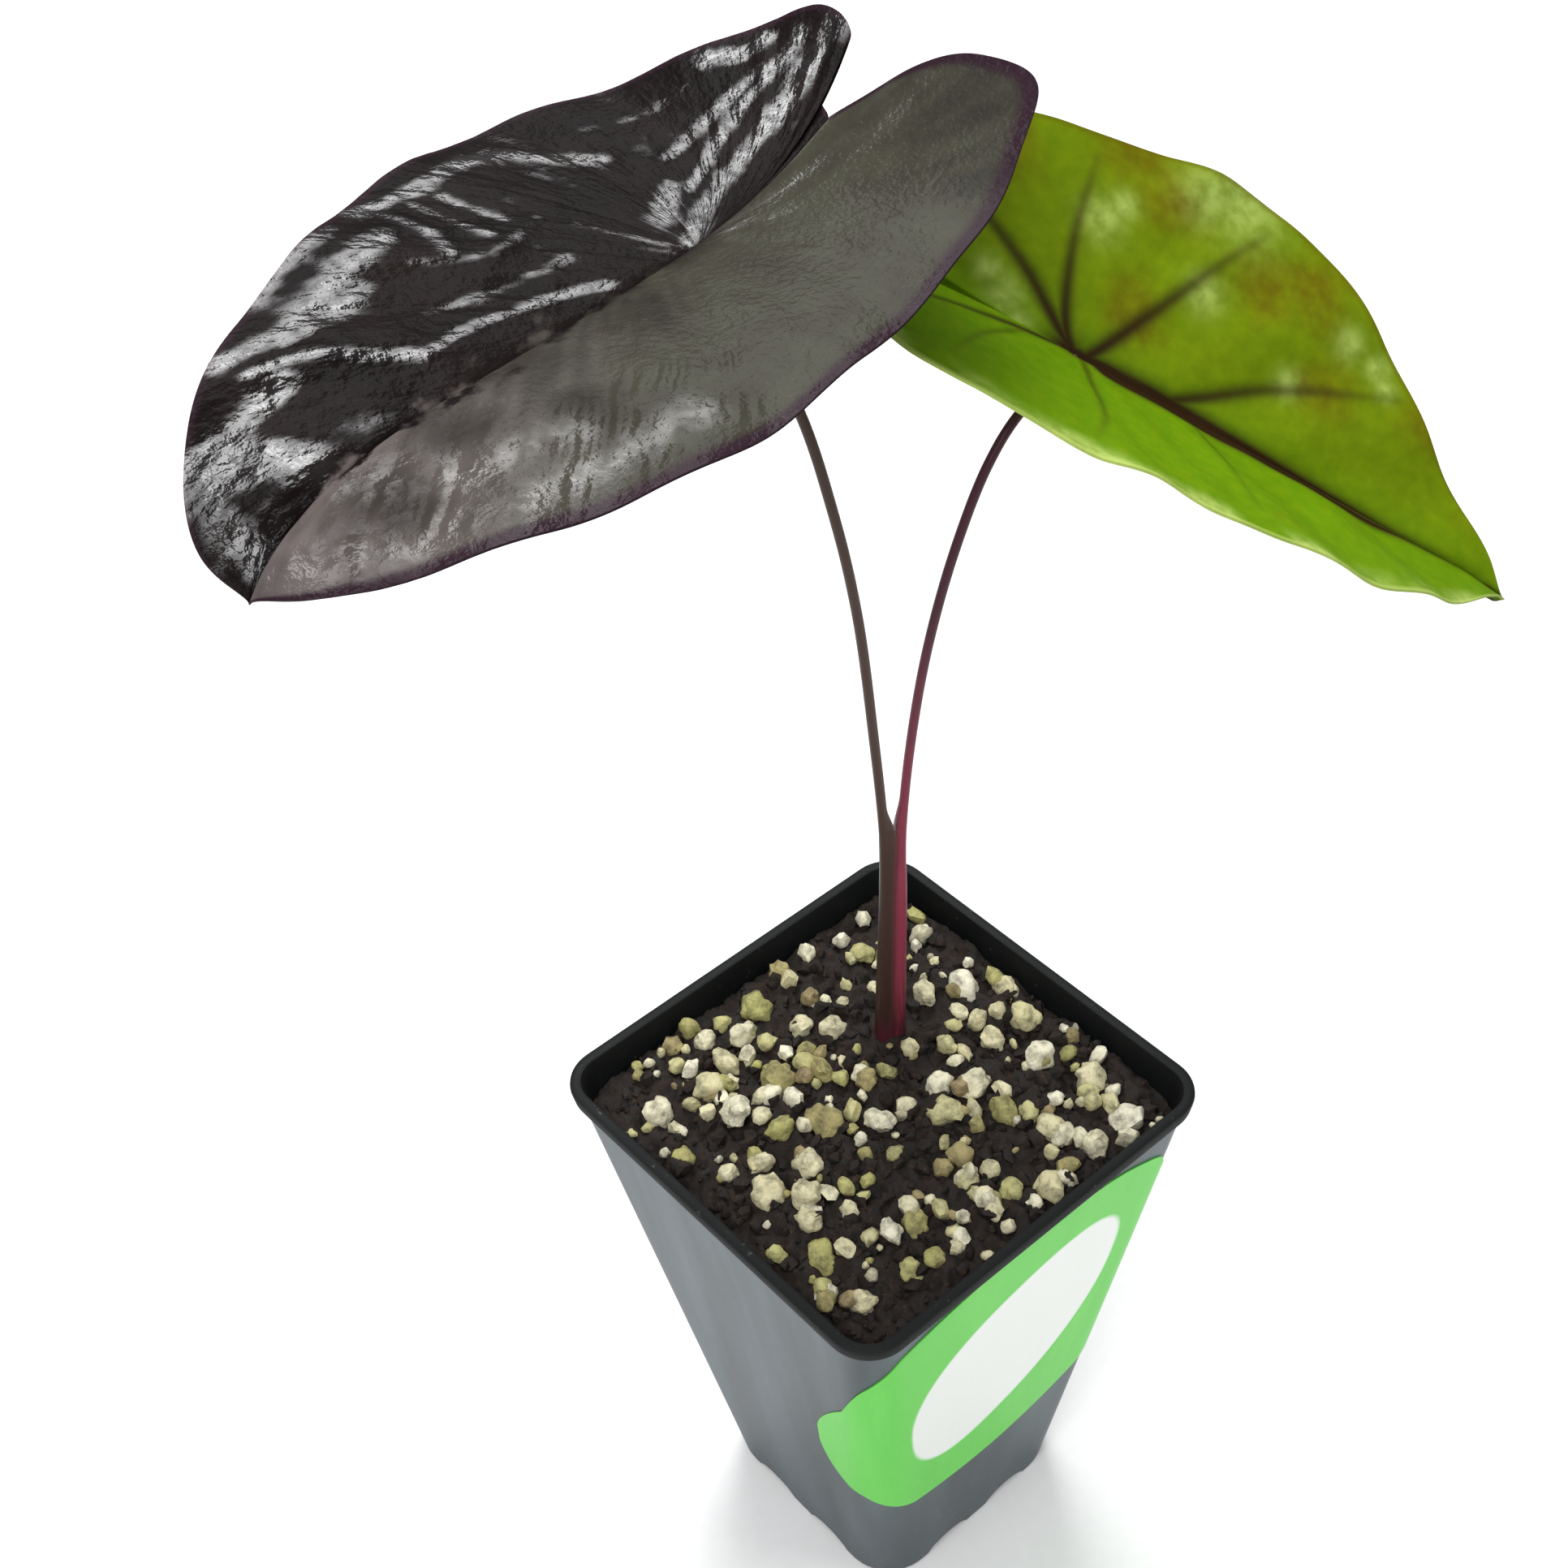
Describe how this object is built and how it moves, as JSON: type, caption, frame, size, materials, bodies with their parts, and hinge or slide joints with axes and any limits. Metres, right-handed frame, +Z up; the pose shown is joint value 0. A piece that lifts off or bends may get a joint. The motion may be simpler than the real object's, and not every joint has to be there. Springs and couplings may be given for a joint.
{
  "type": "potted elephant ear plant",
  "caption": "Young elephant ear plant with a glossy near-black leaf and a bright green leaf on thin stalks, in a small tapered square nursery pot of dark potting mix with perlite.",
  "frame": {"origin": "centre of the pot's flat base, where it rests", "axes": "+Z up; the pot's walls face along X and Y, with the sticker on the wall that faces -Y; the black leaf's tip points towards -X"},
  "size_m": [0.153, 0.0955, 0.2306],
  "materials": {
    "pot_plastic": "thin slate-grey nursery plastic, satin",
    "label_sticker": "coated green sticker with a plain white panel",
    "potting_mix": "dark moist crumb with cream-white perlite",
    "corm": "brown fibrous rootstock",
    "brown_stalk": "smooth dark grey-brown living stalk",
    "red_stalk": "smooth crimson to maroon living stalk",
    "black_blade": "near-black glossy puckered leaf",
    "green_blade": "bright green leaf with dark maroon veins"
  },
  "bodies": {
    "root": {"pot": "pot_plastic", "label": "label_sticker", "potting_mix": "potting_mix", "corm": "corm", "petiole_black_leaf": "brown_stalk", "petiole_green_leaf": "red_stalk", "blade_black_leaf": "black_blade", "blade_green_leaf": "green_blade"}
  },
  "joints": []
}
